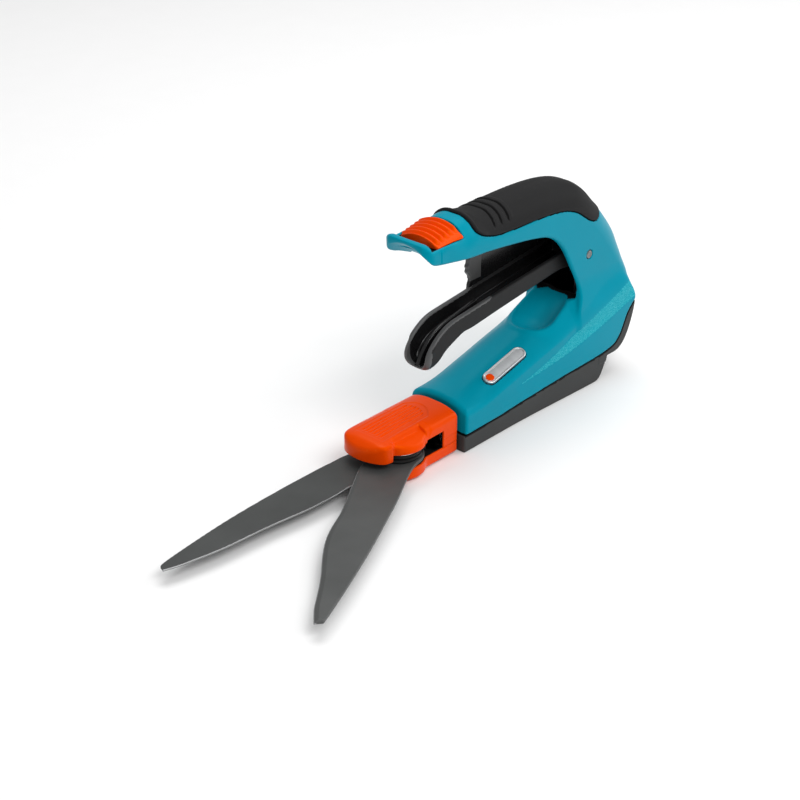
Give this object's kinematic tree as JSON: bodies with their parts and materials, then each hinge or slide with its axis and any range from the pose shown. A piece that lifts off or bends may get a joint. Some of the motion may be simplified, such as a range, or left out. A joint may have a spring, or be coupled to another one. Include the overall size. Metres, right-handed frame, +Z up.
{
  "type": "grass shears",
  "caption": "Hand-held grass shears: looped housing with soft grip, squeeze lever, lock slider and a swivelling blade head.",
  "frame": {"origin": "centre of the flat underside that the tool rests on", "axes": "+X forward to the blade tips, +Y to the tool's left, +Z up away from the resting face"},
  "size_m": [0.3559, 0.1087, 0.1337],
  "materials": {
    "teal_shell": "satin moulded teal plastic",
    "orange_shell": "satin moulded orange plastic",
    "dark_shell": "fine-textured dark grey plastic",
    "black_plastic": "smooth black plastic",
    "grip_rubber": "matt dark grey soft-touch rubber",
    "blade_steel": "satin dark grey non-stick coating",
    "steel": "plated steel",
    "zinc": "plain die-cast metal",
    "badge_metal": "plain satin silver pill"
  },
  "bodies": {
    "body": {"housing": "teal_shell", "badge": "badge_metal", "soft_grip": "grip_rubber", "bottom_cover": "dark_shell", "body_screw_1": "steel", "body_screw_2": "steel", "body_screw_3": "steel", "body_screw_4": "steel", "lever_pin": "steel", "lever_spring": "steel", "crank_pin": "steel", "detent_plunger": "steel"},
    "lever": {"lever": "black_plastic", "tail_pin": "steel"},
    "slider": {"lock_slider": "orange_shell", "latch_bar": "black_plastic"},
    "crank": {"bell_crank": "zinc", "link_pin": "steel", "rod_pin": "steel"},
    "link": {"drive_link": "zinc"},
    "rod": {"pull_rod": "steel"},
    "head": {"swivel_sleeve": "black_plastic", "sleeve_clip": "steel", "head_upper_cover": "orange_shell", "head_lower_shell": "orange_shell", "head_screw_1": "steel", "head_screw_2": "steel", "fixed_blade": "blade_steel", "pivot_bolt": "steel", "bearing_disc_lower": "black_plastic", "bearing_disc_upper": "black_plastic", "steel_washer": "steel", "pivot_nut": "steel"},
    "yoke": {"drive_yoke": "zinc"},
    "blade": {"moving_blade": "blade_steel", "drive_pin": "steel"}
  },
  "joints": [
    {"name": "lever_squeeze", "type": "hinge", "parent": "body", "child": "lever", "pos_m": [-0.051, 0, 0.0832], "axis": [0, -1, 0], "range_deg": [0, 17], "stiffness_Nm_per_rad": 4, "springref_deg": -5.73},
    {"name": "crank_turn", "type": "hinge", "parent": "body", "child": "crank", "pos_m": [-0.048, 0, 0.013], "axis": [0, -1, 0], "range_deg": [0, 16.34]},
    {"name": "link_turn", "type": "hinge", "parent": "crank", "child": "link", "pos_m": [-0.065, 0, 0.034], "axis": [0, 1, 0], "range_deg": [0, 25.17]},
    {"name": "rod_slide", "type": "slide", "parent": "body", "child": "rod", "axis": [-1, 0, 0], "range_m": [0, 0.00512]},
    {"name": "head_turn", "type": "hinge", "parent": "body", "child": "head", "pos_m": [0.05, 0, 0.0143], "axis": [1, 0, 0], "continuous": true},
    {"name": "yoke_slide", "type": "slide", "parent": "head", "child": "yoke", "axis": [-1, 0, 0], "range_m": [0, 0.00512]},
    {"name": "blade_swing", "type": "hinge", "parent": "head", "child": "blade", "pos_m": [0.0995, 0.005, 0.0098], "axis": [0, 0, -1], "range_deg": [0, 33.01]},
    {"name": "lock_slide", "type": "slide", "parent": "body", "child": "slider", "axis": [1, 0, 0], "range_m": [0, 0.005]}
  ],
  "couplings": [
    {"joint": "crank_turn", "follows": "lever_squeeze", "ratio": 0.96074},
    {"joint": "link_turn", "follows": "lever_squeeze", "ratio": 1.4801},
    {"joint": "rod_slide", "follows": "lever_squeeze", "m_per_rad": 0.01723},
    {"joint": "yoke_slide", "follows": "lever_squeeze", "m_per_rad": 0.01723},
    {"joint": "blade_swing", "follows": "lever_squeeze", "ratio": 1.9412}
  ]
}
